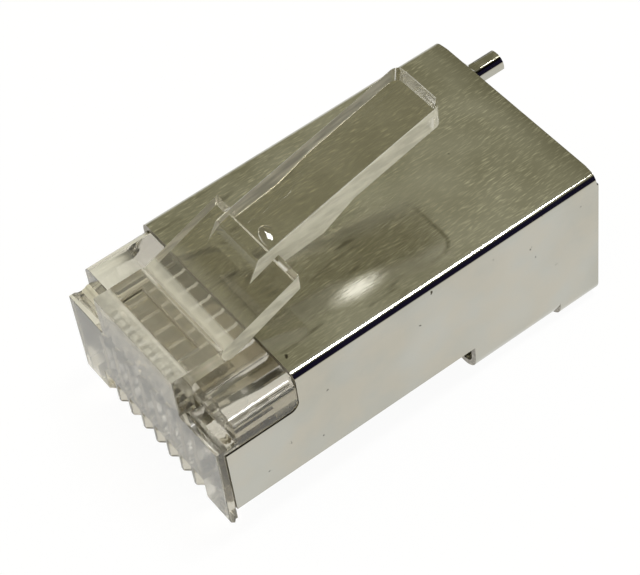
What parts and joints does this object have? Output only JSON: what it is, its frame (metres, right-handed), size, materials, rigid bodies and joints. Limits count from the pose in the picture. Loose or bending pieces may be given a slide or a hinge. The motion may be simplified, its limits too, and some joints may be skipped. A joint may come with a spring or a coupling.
{
  "type": "shielded modular plug",
  "caption": "Shielded modular plug for network cable: clear moulded housing with a flexing latch, in a folded sheet-metal shield with a drain tail.",
  "frame": {"origin": "centre of the plug's footprint, in the plane of the underside of the shield's rear band", "axes": "-Y towards the nose that enters the jack, +Y towards the cable, +Z towards the latch"},
  "size_m": [0.0116, 0.0232, 0.0137],
  "materials": {
    "plated_sheet": "bright nickel plating over rolled sheet, fine lengthwise lines",
    "clear_polycarbonate": "clear moulded polycarbonate, slightly milky",
    "gold_plating": "gold plating over phosphor bronze"
  },
  "bodies": {
    "plug": {"shield": "plated_sheet", "housing": "clear_polycarbonate", "contact_1": "gold_plating", "contact_2": "gold_plating", "contact_3": "gold_plating", "contact_4": "gold_plating", "contact_5": "gold_plating", "contact_6": "gold_plating", "contact_7": "gold_plating", "contact_8": "gold_plating"},
    "latch": {"latch": "clear_polycarbonate"}
  },
  "joints": [
    {"name": "latch_press", "type": "hinge", "parent": "plug", "child": "latch", "pos_m": [0, -0.0086, 0.00865], "axis": [-1, 0, 0], "range_deg": [0, 10], "stiffness_Nm_per_rad": 0.3}
  ]
}
